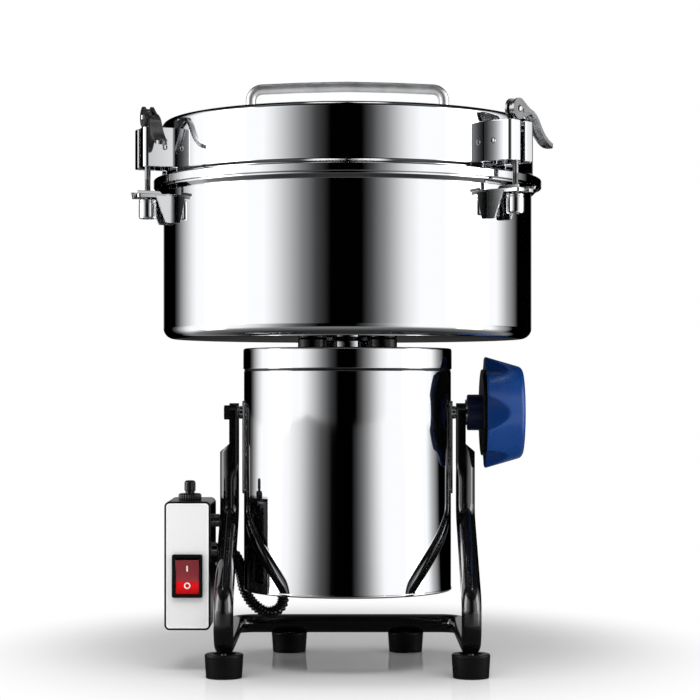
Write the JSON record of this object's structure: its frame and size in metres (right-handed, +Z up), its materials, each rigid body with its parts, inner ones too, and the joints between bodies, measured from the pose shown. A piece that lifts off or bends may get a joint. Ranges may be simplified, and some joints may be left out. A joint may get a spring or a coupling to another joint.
{
  "type": "electric coffee grinder",
  "caption": "Swing-type electric grinder: lidded steel bowl over a motor that tilts in a bent-tube stand with rubber feet, a lobed lock knob, clamp latches and a switch box.",
  "frame": {"origin": "the point on the floor under the motor's upright axis", "axes": "+Z up along the motor's axis, the switch faces -Y, +X to the right through the lock knob"},
  "size_m": [0.2834, 0.2867, 0.4068],
  "materials": {
    "polished_steel": "mirror-polished stainless steel sheet",
    "bright_steel": "polished stainless steel fittings",
    "satin_steel": "satin stainless steel bar",
    "latch_steel": "satin grey pressed steel",
    "blade_steel": "ground stainless steel",
    "frame_paint": "gloss black paint on steel tube",
    "foot_rubber": "moulded black rubber",
    "box_shell": "gloss black painted sheet",
    "box_panel": "satin light grey painted panel",
    "black_plastic": "gloss black moulded plastic",
    "rocker_red": "red translucent plastic",
    "knob_blue": "gloss blue moulded plastic",
    "gasket_silicone": "white silicone",
    "laminations": "varnished steel laminations",
    "copper": "copper wire and bars",
    "brush_brass": "brass holders with carbon brushes",
    "bearing_steel": "ground bearing steel"
  },
  "bodies": {
    "stand": {"left_side_tube": "frame_paint", "right_side_tube": "frame_paint", "rear_cross_tube": "frame_paint", "front_feet": "foot_rubber", "rear_feet": "foot_rubber", "foot_screws": "bright_steel", "switch_box_body": "box_shell", "switch_box_panel": "box_panel", "box_standoffs": "latch_steel", "rocker_housing": "black_plastic", "breaker_body": "black_plastic", "reset_nut": "black_plastic", "mains_gland": "black_plastic", "box_hose_gland": "black_plastic", "link_hose": "black_plastic"},
    "switch_rocker": {"rocker": "rocker_red"},
    "reset_plunger": {"reset_button": "black_plastic"},
    "rotor": {"rotor_shaft": "blade_steel", "armature_core": "laminations", "commutator": "copper", "cooling_fan": "black_plastic", "lower_blade": "blade_steel", "blade_spacer": "blade_steel", "upper_blade": "blade_steel", "blade_nut": "blade_steel"},
    "lock_carrier": {"lock_washer": "bright_steel"},
    "lock": {"lock_knob": "knob_blue", "knob_back_disc": "black_plastic"},
    "left_latch": {"left_latch_rod": "latch_steel", "left_latch_nut": "bright_steel"},
    "left_lever": {"left_latch_lever": "latch_steel"},
    "right_latch": {"right_latch_rod": "latch_steel", "right_latch_nut": "bright_steel"},
    "right_lever": {"right_latch_lever": "latch_steel"},
    "rear_latch": {"rear_latch_rod": "latch_steel", "rear_latch_nut": "bright_steel"},
    "rear_lever": {"rear_latch_lever": "latch_steel"},
    "head": {"bowl": "polished_steel", "catch_brackets": "bright_steel", "lid": "polished_steel", "lid_gasket": "gasket_silicone", "lid_handle": "satin_steel", "handle_nuts": "bright_steel", "lid_brackets": "bright_steel", "bracket_rivets": "bright_steel", "shaft_seal": "foot_rubber", "bowl_standoffs": "foot_rubber", "motor_cap": "polished_steel", "motor_casing": "polished_steel", "base_cover": "bright_steel", "base_screw": "bright_steel", "trunnion_plates": "polished_steel", "left_pivot_bolt": "latch_steel", "pivot_nuts": "latch_steel", "lock_stud": "latch_steel", "bearings": "bearing_steel", "stator_core": "laminations", "field_coils": "copper", "brush_gear": "brush_brass", "motor_hose_gland": "black_plastic"}
  },
  "joints": [
    {"name": "head_tilt", "type": "hinge", "parent": "stand", "child": "head", "pos_m": [0, 0, 0.176], "axis": [1, 0, 0], "range_deg": [-90, 90], "deforming": ["link_hose"]},
    {"name": "rotor_spin", "type": "hinge", "parent": "head", "child": "rotor", "pos_m": [0, 0, 0.15], "axis": [0, 0, 1], "continuous": true},
    {"name": "lock_turn", "type": "hinge", "parent": "lock_carrier", "child": "lock", "pos_m": [0.08355, 0, 0.176], "axis": [1, 0, 0], "range_deg": [0, 540]},
    {"name": "lock_advance", "type": "slide", "parent": "head", "child": "lock_carrier", "axis": [1, 0, 0], "range_m": [0, 0.00151]},
    {"name": "switch_rock", "type": "hinge", "parent": "stand", "child": "switch_rocker", "pos_m": [-0.1086, -0.037, 0.0656], "axis": [1, 0, 0], "range_deg": [-12, 0]},
    {"name": "reset_press", "type": "slide", "parent": "stand", "child": "reset_plunger", "axis": [0, 0, -1], "range_m": [0, 0.0025], "stiffness_N_per_m": 400, "springref_m": -0.002},
    {"name": "left_latch_swing", "type": "hinge", "parent": "head", "child": "left_latch", "pos_m": [-0.13485, -0.04908, 0.3758], "axis": [-0.342, 0.9397, 0], "range_deg": [0, 30]},
    {"name": "left_lever_flip", "type": "hinge", "parent": "left_latch", "child": "left_lever", "pos_m": [-0.13485, -0.04908, 0.3758], "axis": [-0.9397, -0.342, 0], "range_deg": [0, 110]},
    {"name": "right_latch_swing", "type": "hinge", "parent": "head", "child": "right_latch", "pos_m": [0.10993, -0.09224, 0.3758], "axis": [-0.6428, -0.766, 0], "range_deg": [0, 30]},
    {"name": "right_lever_flip", "type": "hinge", "parent": "right_latch", "child": "right_lever", "pos_m": [0.10993, -0.09224, 0.3758], "axis": [0.766, -0.6428, 0], "range_deg": [0, 110]},
    {"name": "rear_latch_swing", "type": "hinge", "parent": "head", "child": "rear_latch", "pos_m": [0.02492, 0.14132, 0.3758], "axis": [0.9848, -0.1736, 0], "range_deg": [0, 30]},
    {"name": "rear_lever_flip", "type": "hinge", "parent": "rear_latch", "child": "rear_lever", "pos_m": [0.02492, 0.14132, 0.3758], "axis": [0.1736, 0.9848, 0], "range_deg": [0, 110]}
  ],
  "couplings": [
    {"joint": "lock_advance", "follows": "lock_turn", "m_per_rad": 0.00015915}
  ]
}
